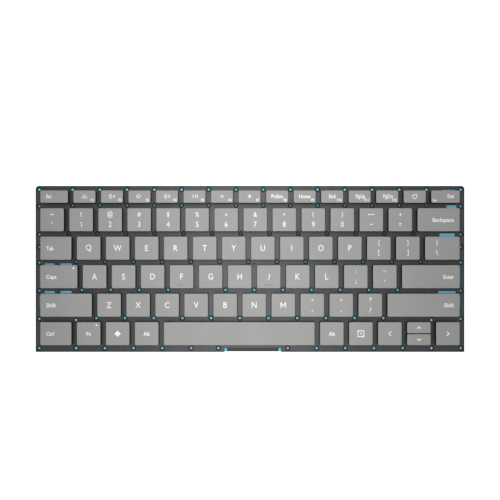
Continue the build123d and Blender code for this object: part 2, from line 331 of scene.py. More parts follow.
def round_edges(piece, test, radius, steps):
    """In edit mode, round off the edges that pass a test."""
    select_edges(piece, test)
    bpy.ops.mesh.bevel(offset=radius, segments=steps, affect="EDGES")


def pull_faces(height):
    """In edit mode, extrude the selected faces up or down."""
    bpy.ops.mesh.extrude_region_move(TRANSFORM_OT_translate={"value": (0, 0, height)})


def merge_points(piece):
    """Open a piece in edit mode, select all of it and make one of points that coincide."""
    edit(piece)
    bpy.ops.mesh.select_all(action="SELECT")
    bpy.ops.mesh.remove_doubles(threshold=MERGE)


def close_shape(piece, angle=35):
    """Merge doubles, turn all faces outwards and smooth the shading of round edges."""
    merge_points(piece)
    bpy.ops.mesh.normals_make_consistent(inside=False)
    bpy.ops.object.mode_set(mode="OBJECT")
    bpy.ops.object.shade_smooth_by_angle(angle=math.radians(angle))


def add_block(name, low, high):
    """A box between two corners, left in edit mode."""
    deselect()
    low, high = Vector(low), Vector(high)
    bpy.ops.mesh.primitive_cube_add(size=1, location=(low + high) / 2)
    block = bpy.context.object
    block.name = name
    block.scale = high - low
    bpy.ops.object.transform_apply()
    edit(block)
    return block


def add_drum(name, centre, radius, bottom, top, sides):
    """An upright cylinder, left in edit mode."""
    deselect()
    middle = (centre[0], centre[1], (bottom + top) / 2)
    bpy.ops.mesh.primitive_cylinder_add(vertices=sides, radius=radius, depth=top - bottom, location=middle)
    drum = bpy.context.object
    drum.name = name
    bpy.ops.object.transform_apply()
    edit(drum)
    return drum


def copy_piece(model, name, shift):
    """A copy with its own mesh, moved to its place."""
    piece = model.copy()
    piece.name = name
    piece.data = model.data.copy()
    piece.data.name = name
    piece.data.transform(Matrix.Translation(shift))
    bpy.context.collection.objects.link(piece)
    return piece


def join(pieces, name):
    """One object of several, under a new name."""
    activate(*pieces)
    if len(pieces) > 1:
        bpy.ops.object.join()
    pieces[0].name = name
    pieces[0].data.name = name
    return pieces[0]


def remove(*pieces):
    for piece in pieces:
        bpy.data.objects.remove(piece)


def give_finish(piece, *finishes):
    piece.data.materials.clear()
    for finish in finishes:
        piece.data.materials.append(finish)


def place_piece(piece, body, slot, *nodes):
    """Let a finished piece ride on a body and stand for its CAD nodes."""
    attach(piece, body)
    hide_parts(*nodes)


def box_of(piece):
    """Lowest and highest corner of a mesh."""
    points = [vertex.co for vertex in piece.data.vertices]
    low = Vector([min(point[axis] for point in points) for axis in range(3)])
    high = Vector([max(point[axis] for point in points) for axis in range(3)])
    return low, high


def middle_of(low, high):
    return (low + high) / 2


def split_node(node, walls_only=False):
    """Merged copies of a CAD node's separate solids, or of its separate upright walls."""
    copy = frame["nodes"][node].copy()
    copy.data = copy.data.copy()
    copy.parent = None
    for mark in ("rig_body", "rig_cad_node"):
        del copy[mark]
    bpy.context.collection.objects.link(copy)
    merge_points(copy)
    if walls_only:
        select_faces(copy, lambda face: abs(face.normal.z) > WALL_SLOPE)
        bpy.ops.mesh.delete(type="FACE")
    bpy.ops.mesh.select_all(action="SELECT")
    bpy.ops.mesh.separate(type="LOOSE")
    bpy.ops.object.mode_set(mode="OBJECT")
    return list(bpy.context.selected_objects)


def split_boxes(node, walls_only=False):
    """Boxes of a CAD node's separate solids or walls."""
    parts = split_node(node, walls_only)
    boxes = [box_of(part) for part in parts]
    remove(*parts)
    return boxes


def find_keys():
    """Every key's name, body and box."""
    keys = {}
    for body in frame["bodies"]:
        if body.startswith("key_"):
            name = body.removeprefix("key_")
            keys[name] = Key(name, body, *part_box(body))
    first_row = middle_of(*keys["q"][2:]).y
    pitch = first_row - middle_of(*keys["a"][2:]).y

    def reading_order(box):
        middle = middle_of(*box)
        return round((first_row - middle.y) / pitch), round(middle.x, 4), -middle.y

    for name, box in zip(COMMAND_KEYS, sorted(split_boxes("command_keycaps"), key=reading_order)):
        keys[name] = Key(name, "base", *box)
    return keys


KEYS = find_keys()
MOVING_KEYS = [key for key in KEYS.values() if key.body != "base"]
SKIRT_Z, CAP_Z = KEYS["q"].low.z, KEYS["q"].high.z
SEAT_Z, DOME_Z = (corner.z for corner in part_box("rubber_domes"))
TRAVEL = next(joint["range_m"][1] for joint in frame["joints"] if joint["name"] == "press_q")


def key_middle(key, height=0.0):
    """The middle of a key, at some height."""
    middle = middle_of(key.low, key.high)
    return Vector((middle.x, middle.y, height))


# Finishes


def add_node(finish, kind, inputs):
    """A new shader node, with each input linked to another node's output or set to a value."""
    tree = finish.node_tree
    node = tree.nodes.new("ShaderNode" + kind)
    for name, value in inputs.items():
        if isinstance(value, bpy.types.NodeSocket):
            tree.links.new(value, node.inputs[name])
        else:
            node.inputs[name].default_value = value
    return node


def start_finish(name, settings):
    """A new node material, its shader with some inputs set, and the object's own coordinates."""
    finish = bpy.data.materials.new(name)
    finish.use_nodes = True
    shader = finish.node_tree.nodes["Principled BSDF"]
    for socket, value in settings.items():
        shader.inputs[socket].default_value = value
    return finish, shader, add_node(finish, "TexCoord", {}).outputs["Object"]


def stretch(finish, place, scale):
    """Coordinates stretched along the axes."""
    return add_node(finish, "Mapping", {"Vector": place, "Scale": scale}).outputs["Vector"]


def add_noise(finish, place, grain, detail=2.0):
    """Soft noise whose grain has that size in metres."""
    return add_node(finish, "TexNoise", {"Vector": place, "Scale": 1 / grain, "Detail": detail}).outputs[0]


def tint(finish, factor, dark, light, target=None, start=0.3, end=0.7):
    """A run between two colours, into a colour socket if there is one."""
    ramp = add_node(finish, "ValToRGB", {"Fac": factor})
    for element, position, shade in zip(ramp.color_ramp.elements, (start, end), (dark, light)):
        element.position = position
        element.color = (*shade, 1.0)
    if target:
        finish.node_tree.links.new(ramp.outputs["Color"], target)
    return ramp.outputs["Color"]


def shade_of(base, factor):
    """A colour made darker or lighter."""
    return tuple(min(1.0, part * factor) for part in base)


def drift(finish, factor, base, contrast, target=None):
    """A colour that drifts darker and lighter by a share of itself."""
    return tint(finish, factor, shade_of(base, 1 - contrast), shade_of(base, 1 + contrast), target)


def spread(finish, factor, start, end, low, high):
    """A run between two numbers, while a factor goes from its start to its end."""
    limits = {"From Min": start, "From Max": end, "To Min": low, "To Max": high}
    return add_node(finish, "MapRange", {"Value": factor, **limits}).outputs["Result"]


def vary(finish, factor, low, high, target):
    """A run between two numbers, into a number socket."""
    finish.node_tree.links.new(spread(finish, factor, 0, 1, low, high), target)


def rise_along(finish, place, axis, start, end):
    """A number that rises to 1 between two coordinates along an axis."""
    parts = add_node(finish, "SeparateXYZ", {"Vector": place})
    return spread(finish, parts.outputs[axis], start, end, 0, 1)


def combine(finish, operation, first, second):
    """The product, sum or greater one of two numbers."""
    step = add_node(finish, "Math", {0: first, 1: second})
    step.operation = operation
    return step.outputs["Value"]


def roughen(finish, height, depth, strength, shader):
    """A bump of that depth in metres."""
    bump = add_node(finish, "Bump", {"Height": height, "Distance": depth, "Strength": strength})
    finish.node_tree.links.new(bump.outputs["Normal"], shader.inputs["Normal"])


# A finish that comes from one noise: its colour, its grain's size in millimetres, its contrast,
# its range of roughness, its bump's depth in millimetres, its grain's stretch and settings of its shader
Coat = namedtuple("Coat", "colour grain contrast roughness bump stretch settings", defaults=((1, 1, 1), {}))
COATS = {
    # Painted shade: dull dark colour on the keycaps' walls and undersides, which lie in shade
    "cap_skirt": Coat("skirt", 0.2, 0.15, (0.7, 0.85), 0.004, settings={"Specular IOR Level": 0.12}),
    # Homing bars, worn dull by use
    "bar_plastic": Coat("bar", 0.4, 0.05, (0.5, 0.6), 0.003),
    # Opaque white ink with a slightly uneven coat
    "legend_ink": Coat("ink", 0.3, 0.03, (0.42, 0.55), 0.003),
    # Painted shade: dull black in the sunk rings round the holes, on the cut walls and on the band along
    # the plate's edge
    "ring_black": Coat("ring", 0.25, 0.2, (0.65, 0.8), 0.006, settings={"Specular IOR Level": 0.15}),
    # Dark printed film, a little duller than the plate
    "membrane_film": Coat("paint", 1.5, 0.08, (0.38, 0.48), 0.006),
    # Black flexible board with a woven ground
    "lamp_board": Coat("board", 0.4, 0.25, (0.5, 0.65), 0.008, (1, 0.25, 1), {"Specular IOR Level": 0.2}),
    # Translucent silicone with a dusty skin
    "dome_rubber": Coat("rubber", 0.5, 0.05, (0.45, 0.6), 0.006, settings={"Sheen Weight": 0.15}),
    # Natural engineering plastic
    "link_plastic": Coat("link", 0.35, 0.04, (0.4, 0.52), 0.005),
    # Drawn wire, with fine lines along it
    "wire_steel": Coat("steel", 0.12, 0.1, (0.24, 0.4), 0.004, (0.05, 1, 1), {"Metallic": 1.0}),
}
BUMP = 0.5  # strength of their bumps


def coat(name, colours):
    """One of these finishes, with drifting colour and roughness and a fine bump."""
    recipe = COATS[name]
    finish, shader, place = start_finish(name, recipe.settings)
    noise = add_noise(finish, stretch(finish, place, recipe.stretch), recipe.grain * MM)
    drift(finish, noise, getattr(colours, recipe.colour), recipe.contrast, shader.inputs["Base Color"])
    vary(finish, noise, *recipe.roughness, shader.inputs["Roughness"])
    roughen(finish, noise, recipe.bump * MM, BUMP, shader)
    return finish


def cap_finish(colours):
    """Matt coat on the keycaps' tops: a spark-eroded grain and a slow drift of shade."""
    finish, shader, place = start_finish("cap_plastic", {"Specular IOR Level": 0.3})
    drift(finish, add_noise(finish, place, 24 * MM), colours.cap, 0.035, shader.inputs["Base Color"])
    grain = add_noise(finish, place, 0.14 * MM, detail=3.0)
    vary(finish, grain, 0.5, 0.64, shader.inputs["Roughness"])
    roughen(finish, grain, 0.004 * MM, 0.4, shader)
    return finish


def paint_finish(colours):
    """Dark semi-gloss paint with a faint orange peel."""
    finish, shader, place = start_finish("plate_paint", {})
    drift(finish, add_noise(finish, place, 30 * MM), colours.paint, 0.1, shader.inputs["Base Color"])
    peel = add_noise(finish, place, 0.6 * MM)
    vary(finish, peel, 0.42, 0.52, shader.inputs["Roughness"])
    roughen(finish, peel, 0.01 * MM, 0.25, shader)
    return finish


def film_finish(colours):
    """Pale blue film with faint streaks. On its face towards the plate, painted shade darkens it towards
    deep blue: most under the back rows, less towards the front and back edges, fading out near the sides
    and coming back along the side rims.
    """
    finish, shader, place = start_finish("liner_film", {"Specular IOR Level": 0.1})
    low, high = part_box("release_liner")
    right, left = (rise_along(finish, place, "X", 0, side * high.x) for side in (1, -1))
    aside = combine(finish, "ADD", right, left)  # 0 in the middle, 1 at the sides
    along = rise_along(finish, place, "Y", low.y, high.y)
    slant = spread(finish, aside, 0, 1, 0, FILM_SLANT)
    # Painted shade along the rows, reaching a little further back towards the sides
    depth = add_node(finish, "ValToRGB", {"Fac": combine(finish, "ADD", along, slant)})
    stops = depth.color_ramp.elements
    stops[0].position, stops[1].position = FILM_PAINTED_SHADE[0][0], FILM_PAINTED_SHADE[-1][0]
    for position, _ in FILM_PAINTED_SHADE[1:-1]:
        stops.new(position)
    for stop, (_, blue) in zip(stops, FILM_PAINTED_SHADE):
        stop.color = (blue, blue, blue, 1.0)
    rows = depth.outputs["Color"]
    # The painted shade fades out near the sides, further out towards the back
    lean = spread(finish, along, 0, 1, 0, -FILM_LEAN)
    inner = spread(finish, combine(finish, "ADD", aside, lean), *FILM_FADE, 1, 0)
    # Painted shade comes back along the side rims
    rim = combine(
        finish, "MULTIPLY",
        spread(finish, aside, *FILM_RIM, 0, 1),
        spread(finish, rows, 0, FILM_RIM_FULL, 0, FILM_RIM_PAINTED_SHADE),
    )
    shade = combine(finish, "ADD", combine(finish, "MULTIPLY", rows, inner), rim)
    # Only the face towards the plate gets the painted shade
    above = rise_along(finish, place, "Z", low.z, high.z)
    shade = combine(finish, "MULTIPLY", shade, above)
    streaks = add_noise(finish, stretch(finish, place, (0.1, 1, 1)), 4 * MM, detail=4.0)
    # Pale film, and the darker blue that the painted shade turns it to
    pale, deep = (drift(finish, streaks, base, 0.06) for base in (colours.film, colours.painted_shade_film))
    mix = add_node(finish, "MixRGB", {0: shade, 1: pale, 2: deep})
    finish.node_tree.links.new(mix.outputs["Color"], shader.inputs["Base Color"])
    vary(finish, streaks, 0.3, 0.42, shader.inputs["Roughness"])
    roughen(finish, streaks, 0.004 * MM, 0.5, shader)
    return finish


def guide_finish(colours):
    """Milky sheet with the small dots that let its light out."""
    finish, shader, place = start_finish("light_guide", {})
    dots = add_node(finish, "TexVoronoi", {"Vector": place, "Scale": 1 / GUIDE_DOT, "Randomness": 0.15})
    distance = dots.outputs["Distance"]
    light = shade_of(colours.guide, 1.2)
    tint(finish, distance, light, colours.guide, shader.inputs["Base Color"], start=0.25, end=0.32)
    vary(finish, distance, 0.5, 0.2, shader.inputs["Roughness"])
    return finish


# Lettering and drawn signs, about the origin


def write(text, height, side=0, bold=0.0):
    """Lettering as a thin mesh. Its middle, left or right end lies at the origin, at half its height."""
    sizes = bpy.context.scene.keyboard_sizes
    deselect()
    bpy.ops.object.text_add(location=(0, -height / 2, 0))
    lettering = bpy.context.object
    lettering.data.body = text
    lettering.data.size = height / CAPITAL_SHARE
    lettering.data.align_x = TEXT_ALIGN[side]
    lettering.data.extrude = sizes.ink
    lettering.data.offset = bold
    lettering.data.resolution_u = 3
    lettering.scale.x = sizes.narrowing * WIDTHS.get(text, 1.0)
    bpy.ops.object.convert(target="MESH")
    bpy.ops.object.transform_apply()
    lettering = bpy.context.object
    merge_points(lettering)
    bpy.ops.object.mode_set(mode="OBJECT")
    return lettering


def draw_bar(name, points, thickness, closed=False, bend=0.0):
    """A round bar along a line of points, with its corners bent to a radius."""
    count = len(points)
    ends = [(start, (start + 1) % count) for start in range(count if closed else count - 1)]
    mesh = bpy.data.meshes.new(name)
    mesh.from_pydata(points, ends, [])
    bar = bpy.data.objects.new(name, mesh)
    bpy.context.collection.objects.link(bar)
    if bend:
        for number, vertex in enumerate(mesh.vertices):
            vertex.select = closed or 0 < number < count - 1
        edit(bar)
        bpy.ops.mesh.bevel(offset=bend, segments=5, affect="VERTICES")
    activate(bar)
    bpy.ops.object.convert(target="CURVE")
    bar.data.bevel_depth = thickness / 2
    bar.data.bevel_resolution = 2
    bar.data.use_fill_caps = True
    bpy.ops.object.convert(target="MESH")
    return bpy.context.object


def draw_stroke(points, closed=False, weight=1.0):
    """A flat inked line along points in millimetres."""
    sizes = bpy.context.scene.keyboard_sizes
    width = weight * sizes.stroke
    line = draw_bar("stroke", [(x * MM, y * MM, 0) for x, y in points], width, closed)
    line.data.transform(Matrix.Diagonal((1, 1, 2 * sizes.ink / width, 1)))
    return line


def draw_dot(diameter, sides=20):
    """A flat inked dot, or a diamond if it has four sides."""
    ink = bpy.context.scene.keyboard_sizes.ink
    dot = add_drum("dot", (0, 0), diameter / 2, -ink, ink, sides)
    deselect()
    return dot


def arc(radius, start, end, middle=(0, 0), steps=12):
    """Points along an arc, with its angles in degrees."""
    angles = [math.radians(start + (end - start) * step / steps) for step in range(steps + 1)]
    return [(middle[0] + radius * math.cos(a), middle[1] + radius * math.sin(a)) for a in angles]


def turn_by(degrees, points):
    """Points turned about the origin."""
    turned = Matrix.Rotation(math.radians(degrees), 2)
    return [tuple(turned @ Vector(point)) for point in points]


# A leg and a slope of the letter M, on its right side
M_LEG = ((1.6, -1.9), (1.45, 1.9))
M_SLOPE = ((1.45, 1.75), (0, -1.1))
# Strokes of marks whose form in the built-in font is too plain, too deep or too light
DRAWN_MARKS = {
    "1": [[(-0.65, 0.95), (0.15, 1.45), (0.15, -1.7)]],
    "J": [[(0.65, 1.85), (0.65, -0.85), *arc(0.8, 0, -110, (-0.15, -0.85), 8)]],
    "M": [[(side * x, y) for x, y in leg] for side in (-1, 1) for leg in (M_LEG, M_SLOPE)],
    "*": [turn_by(turn, [(-0.55, 0), (0.55, 0)]) for turn in (30, 90, 150)],
    "~": [[(x / 6, 0.32 * math.sin(math.pi * x / 6)) for x in range(-6, 7)]],
    "!": [[(0, 1.6), (0, -0.6)], [(0, -1.05), (0, -1.55)]],
    "?": [[*arc(0.55, 160, -50, (0, 0.85), 8), (0, -0.1), (0, -0.55)], [(0, -1.1), (0, -1.6)]],
    "/": [[(-0.65, -1.55), (0.65, 1.55)]],
    "\\": [[(-0.6, 1.6), (0.6, -1.6)]],
    "|": [[(0, -1.9), (0, 1.9)]],
    "<": [[(0.65, 0.7), (-0.6, 0), (0.65, -0.7)]],
    ">": [[(-0.65, 0.7), (0.6, 0), (-0.65, -0.7)]],
    ":": [[(0, 0.55), (0, 1.05)], [(0, -1.05), (0, -0.55)]],
    ";": [[(0, 0.6), (0, 1.1)], [(0.15, -0.35), (-0.25, -1.25)]],
    "_": [[(-2.1, 0), (2.1, 0)]],
    "-": [[(-1.0, 0), (1.0, 0)]],
    "+": [[(-0.8, 0), (0.8, 0)], [(0, -0.85), (0, 0.85)]],
    "=": [[(-0.8, y), (0.8, y)] for y in (-0.6, 0.6)],
    "`": [[(-0.5, 0.45), (0.5, -0.45)]],
    "'": [[(-0.3, -0.5), (0.3, 0.5)]],
    "\"": [[(x - 0.15, -0.4), (x + 0.15, 0.4)] for x in (-0.6, 0.6)],
    ",": [[(-0.32, -0.55), (0.28, 0.5)]],
    ".": [[(-0.15, 0.15), (0.15, 0.15), (0.15, -0.15), (-0.15, -0.15), (-0.15, 0.15)]],
}


def draw_sun(disc, reach):
    """A disc with eight rays."""
    rays = [turn_by(angle, [(reach - 0.25, 0), (reach, 0)]) for angle in range(0, 360, 45)]
    return [draw_dot(2 * disc * MM), *[draw_stroke(ray, weight=0.6) for ray in rays]]


def draw_speaker(waves, mute=False):
    """A loudspeaker with sound waves or a cross."""
    horn = [(-1.75, -0.65), (-1.05, -0.65), (-0.2, -1.45), (-0.2, 1.45), (-1.05, 0.65), (-1.75, 0.65)]
    strokes = [draw_stroke(horn, closed=True)]
    strokes += [draw_stroke(arc(0.8 + 0.9 * wave, -45, 45), weight=0.75) for wave in range(waves)]
    if mute:
        strokes += [draw_stroke([(0.65, -0.65 * way), (1.95, 0.65 * way)], weight=0.75) for way in (1, -1)]
    return strokes


def draw_play():
    """A triangle and two bars."""
    bars = [draw_stroke([(x, -1.2), (x, 1.2)], weight=0.75) for x in (0.85, 1.9)]
    return [draw_stroke([(-1.5, -1.0), (-1.5, 1.0), (0.45, 0)], True, 0.85), *bars]


def draw_key_light():
    """Half a sun over a line."""
    rays = [turn_by(angle, [(1.35, 0), (1.8, 0)]) for angle in (25, 57, 90, 123, 155)]
    lines = [arc(0.75, 0, 180), [(-2.1, -0.4), (2.1, -0.4)], *rays]
    return [move(draw_stroke(line, weight=0.7), 0, -0.7 * MM) for line in lines]


def draw_power():
    """A broken ring with a bar."""
    return [draw_stroke(arc(1.5, 125, 415, steps=20)), draw_stroke([(0, 0.2), (0, 1.8)])]


def draw_menu():
    """A list in a box."""
    lines = [draw_stroke([(-0.75, y), (0.75, y)], weight=0.5) for y in (-0.7, 0.0, 0.7)]
    return [draw_stroke([(-1.95, -1.95), (1.95, -1.95), (1.95, 1.95), (-1.95, 1.95)], True, 1.6), *lines]


def draw_diamond():
    """A plain diamond."""
    return [draw_dot(bpy.context.scene.keyboard_sizes.mark, sides=4)]


def draw_chevron(degrees, half_width=1.4, rise=0.8):
    """An open arrowhead that points up, turned about its middle."""
    points = turn_by(degrees, [(-half_width, -rise), (0, rise), (half_width, -rise)])
    return [draw_stroke(points, weight=1.35)]


SIGNS = {
    "f1": draw_key_light,
    "f2": lambda: draw_speaker(0, mute=True),
    "f3": lambda: draw_speaker(1),
    "f4": lambda: draw_speaker(2),
    "f5": draw_play,
    "f6": lambda: draw_sun(0.5, 1.05),
    "f7": lambda: draw_sun(0.75, 1.35),
    "power": draw_power,
    "menu": draw_menu,
    "system": draw_diamond,
    "arrow_up": lambda: draw_chevron(0, 1.25, 0.7),
    "arrow_down": lambda: draw_chevron(180, 1.25, 0.7),
    "arrow_left": lambda: draw_chevron(90),
    "arrow_right": lambda: draw_chevron(270),
}


def move(piece, x, y):
    """Shift a mark across its key."""
    piece.data.transform(Matrix.Translation((x, y, 0)))
    return piece


def centre_mark(piece, x, y):
    """Put the middle of a mark at a point of its key."""
    middle = middle_of(*box_of(piece))
    return move(piece, x - middle.x, y - middle.y)


def draw_mark(mark, height):
    """One letter, digit or sign."""
    if mark in DRAWN_MARKS:
        return join([draw_stroke(points) for points in DRAWN_MARKS[mark]], "mark")
    return write(mark, height, bold=MARK_BOLD * bpy.context.scene.keyboard_sizes.bold)


def draw_legend(key):
    """All the marks of one key, about the key's middle."""
    sizes = bpy.context.scene.keyboard_sizes
    half_width = (key.high.x - key.low.x) / 2
    half_depth = (key.high.y - key.low.y) / 2
    in_function_row = key.high.y > KEYS["1"].high.y
    marks = []
    if len(key.name) == 1 and key.name.isalpha():
        marks.append(centre_mark(draw_mark(key.name.upper(), sizes.letter), 0, LETTER_LIFT * MM))
    if key.name in PAIRED_MARKS:
        upper, lower = PAIRED_MARKS[key.name]
        # A wide key carries its marks where an ordinary key would
        ordinary = (KEYS["q"].high.x - KEYS["q"].low.x) / 2
        x = min(0, ordinary - half_width)
        for mark, y in ((upper, sizes.upper_mark), (lower, -sizes.lower_mark)):
            height = sizes.digit if mark.isdigit() else sizes.sign
            marks.append(centre_mark(draw_mark(mark, height), x, y + MARK_SHIFTS.get(mark, 0) * MM))
    if key.name in WORDS:
        word, side = WORDS[key.name]
        height = sizes.function_word if in_function_row else sizes.word
        lift = FUNCTION_LIFT if in_function_row else WORD_LIFT
        x = side * (half_width - sizes.word_inset) + WORD_SHIFTS.get(word, 0) * MM
        marks.append(move(write(word, height, side, sizes.bold), x, lift * MM))
    if key.name in SMALL_WORDS:
        word, side = SMALL_WORDS[key.name]
        y = sizes.small_inset + sizes.small_word / 2 - half_depth
        lettering = write(word, sizes.small_word, side, SMALL_BOLD * sizes.bold)
        marks.append(move(lettering, side * (half_width - sizes.small_inset), y))
    if key.name in LAMP_KEYS:
        x, y = half_width - sizes.lamp_inset, half_depth - sizes.lamp_drop
        marks.append(move(draw_dot(sizes.lamp), x, y))
    if key.name in SIGNS:
        marks += [move(sign, 0, FUNCTION_LIFT * MM * in_function_row) for sign in SIGNS[key.name]()]
    return marks


def model_cap(width, depth):
    """One keycap about the origin: drafted walls, round corners and edges, and a hollow below."""
    sizes = bpy.context.scene.keyboard_sizes
    cap = add_block("cap", (-width / 2, -depth / 2, SKIRT_Z), (width / 2, depth / 2, CAP_Z))
    round_edges(cap, upright, sizes.cap_corner, steps=6)
    select_faces(cap, face_up)
    draft = ((width - 2 * sizes.cap_draft) / width, (depth - 2 * sizes.cap_draft) / depth, 1)
    bpy.ops.transform.resize(value=draft, center_override=(0, 0, CAP_Z))
    round_edges(cap, level_at(CAP_Z), sizes.cap_edge, steps=4)
    select_faces(cap, lambda face: face_up(face) and abs(face.calc_center_median().z - CAP_Z) < MERGE)
    bpy.ops.mesh.inset(thickness=sizes.cap_edge / 4)
    select_faces(cap, face_down)
    bpy.ops.mesh.inset(thickness=sizes.cap_wall)
    pull_faces(CAP_Z - sizes.cap_roof - SKIRT_Z)
    close_shape(cap)
    return cap


def model_homing_bar(height):
    """The raised bar that a finger finds on the two home keys, about the origin."""
    sizes = bpy.context.scene.keyboard_sizes
    half = (sizes.homing_length / 2, sizes.homing_depth / 2)
    bar = add_block("homing_bar", (-half[0], -half[1], CAP_Z - height), (half[0], half[1], CAP_Z + height))
    round_edges(bar, upright, HOMING_END * sizes.homing_depth, steps=5)
    round_edges(bar, level_at(CAP_Z + height), HOMING_EDGE * height, steps=3)
    close_shape(bar)
    return bar


class KEYBOARD_OT_keycaps(bpy.types.Operator):
    """Model the keycaps with their legends and put each one over its key"""

    bl_idname = "keyboard.keycaps"
    bl_label = "Keycaps"

    def execute(self, context):
        sizes, colours = context.scene.keyboard_sizes, context.scene.keyboard_colours
        plastic = cap_finish(colours)
        skirt, ink, worn = (coat(name, colours) for name in ("cap_skirt", "legend_ink", "bar_plastic"))
        models = {}
        for key in KEYS.values():
            span = key.high - key.low
            size = (round(span.x, 5), round(span.y, 5))
            if size not in models:
                models[size] = model_cap(*size)
                give_finish(models[size], plastic, skirt)
                # Walls and undersides get the painted wall shade, tops the grey plastic
                for face in models[size].data.polygons:
                    face.material_index = int(face.normal.z < TOP_SLOPE)
            cap = copy_piece(models[size], "cap_" + key.name, key_middle(key))
            parts = [cap]
            if key.name in HOMING_KEYS:
                bar = model_homing_bar(key.high.z - CAP_Z)
                give_finish(bar, worn)
                homing_place = key_middle(key) - Vector((0, sizes.homing_offset, 0))
                bar.data.transform(Matrix.Translation(homing_place))
                parts.append(bar)
            if key.name == "space":
                parts += self.add_clips(key, skirt)
            for mark in draw_legend(key):
                give_finish(mark, ink)
                mark.data.transform(Matrix.Translation(key_middle(key, CAP_Z)))
                parts.append(mark)
            join(parts, "cap_" + key.name)
            node = "command_keycaps" if key.body == "base" else key.body
            place_piece(cap, key.body, "keycap_plastic", node)
        remove(*models.values())
        return {"FINISHED"}

    @staticmethod
    def add_clips(key, finish):
        """The two clips below the long key, behind its wire."""
        sizes = bpy.context.scene.keyboard_sizes
        half = Vector((sizes.clip_width / 2, sizes.clip_depth / 2, 0))
        clips = []
        for side in (-1, 1):
            foot = key_middle(key, SKIRT_Z)
            foot += Vector((side * CLIP_PLACE * (key.high.x - key.low.x), -sizes.clip_offset, 0))
            roof = Vector((0, 0, CAP_Z - sizes.cap_roof - SKIRT_Z))
            clips.append(add_block("clip", foot - half, foot + half + roof))
            give_finish(clips[-1], finish)
        return clips


class KEYBOARD_OT_plate(bpy.types.Operator):
    """Model the painted plate with its ringed holes, windows, slits and notch"""

    bl_idname = "keyboard.plate"
    bl_label = "Plate"

    def execute(self, context):
        sizes, colours = context.scene.keyboard_sizes, context.scene.keyboard_colours
        low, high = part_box("base_plate")
        walls = split_node("base_plate", walls_only=True)
        boxes = [box_of(wall) for wall in walls]
        outline = walls.pop(boxes.index(max(boxes, key=lambda box: box[1].x - box[0].x)))
        # The outline's only points between the front edge and the back corners are those of the notch
        notch = [vertex.co.xy for vertex in outline.data.vertices if low.y + MERGE < vertex.co.y < 0]
        openings = [box_of(wall) for wall in walls]
        remove(outline, *walls)
        plate = add_block("plate", low, high)
        round_edges(
            plate, lambda start, end: upright(start, end) and start.y > 0, sizes.plate_corner, steps=10
        )
        round_edges(plate, level_at(high.z), sizes.plate_edge, steps=3)
        select_faces(plate, face_up)
        bpy.ops.mesh.inset(thickness=sizes.plate_rim)
        cutters = [self.notch_cutter(notch, low, high), self.pit_cutter(high.z)]
        for box in openings:
            if self.is_hole(box):
                cutters.append(self.hole_cutter(box, low.z, high.z))
            else:
                cutters.append(self.window_cutter(box))
        cutter = join(cutters, "cutter")
        cut = plate.modifiers.new("openings", "BOOLEAN")
        cut.object = cutter
        cut.solver = "EXACT"
        activate(plate)
        bpy.ops.object.modifier_apply(modifier=cut.name)
        remove(cutter)
        close_shape(plate, angle=30)
        give_finish(plate, paint_finish(colours), coat("ring_black", colours))
        margin = sizes.plate_edge + sizes.plate_rim
        # The sunk rings, cut walls and the band along the edge get the painted shade, the rest of the top
        # the paint
        for face in plate.data.polygons:
            middle = face.center
            inside = abs(middle.x) < high.x - margin and abs(middle.y) < high.y - margin
            on_top = inside and middle.z > high.z - MERGE
            face.material_index = int(not on_top and middle.z > low.z + MERGE)
        place_piece(plate, "base", "plate_paint", "base_plate")
        return {"FINISHED"}

    @staticmethod
    def is_hole(box):
        """Whether an opening is one of the small fixing holes."""
        span = box[1] - box[0]
        return max(span.x, span.y) < HOLE_SLACK * bpy.context.scene.keyboard_sizes.hole

    @staticmethod
    def hole_cutter(box, bottom, top):
        """A shallow wide drum on a deep narrow one."""
        sizes = bpy.context.scene.keyboard_sizes
        floor = top - sizes.ring_depth
        drum = add_drum("hole", middle_of(*box), sizes.ring / 2, floor, top + sizes.ring_depth, sides=24)
        select_faces(drum, face_down)
        bpy.ops.mesh.inset(thickness=(sizes.ring - sizes.hole) / 2)
        pull_faces(bottom - sizes.ring_depth - floor)
        return drum

    @staticmethod
    def pit_cutter(top):
        """A small drum over the place where the gaps behind H and J meet."""
        sizes = bpy.context.scene.keyboard_sizes
        x = (KEYS["h"].high.x + KEYS["j"].low.x) / 2
        y = (KEYS["u"].low.y + KEYS["j"].high.y) / 2 - PIT_DROP
        bottom = top - sizes.pit_depth
        return add_drum("pit", (x, y), sizes.pit / 2, bottom, top + sizes.ring_depth, sides=16)

    @staticmethod
    def window_cutter(box):
        """A block with round corners, through the whole plate."""
        sizes = bpy.context.scene.keyboard_sizes
        through = Vector((0, 0, sizes.ring_depth))
        block = add_block("window", box[0] - through, box[1] + through)
        round_edges(block, upright, sizes.window_corner, steps=4)
        return block

    @staticmethod
    def notch_cutter(corners, low, high):
        """A block that reaches in from the front edge as far as the notch's inner corners."""
        margin = bpy.context.scene.keyboard_sizes.ring
        across = [corner.x for corner in corners]
        return add_block(
            "notch",
            (min(across), low.y - margin, low.z - margin),
            (max(across), max(corner.y for corner in corners), high.z + margin),
        )


class KEYBOARD_OT_films(bpy.types.Operator):
    """Finish the thin sheets over and under the plate"""

    bl_idname = "keyboard.films"
    bl_label = "Films"

    def execute(self, context):
        colours = context.scene.keyboard_colours
        finishes = {
            "release_liner": film_finish(colours),
            "membrane": coat("membrane_film", colours),
            "light_guide": guide_finish(colours),
            "lamp_strip": coat("lamp_board", colours),
        }
        for node, finish in finishes.items():
            give_finish(frame["nodes"][node], finish)
        return {"FINISHED"}


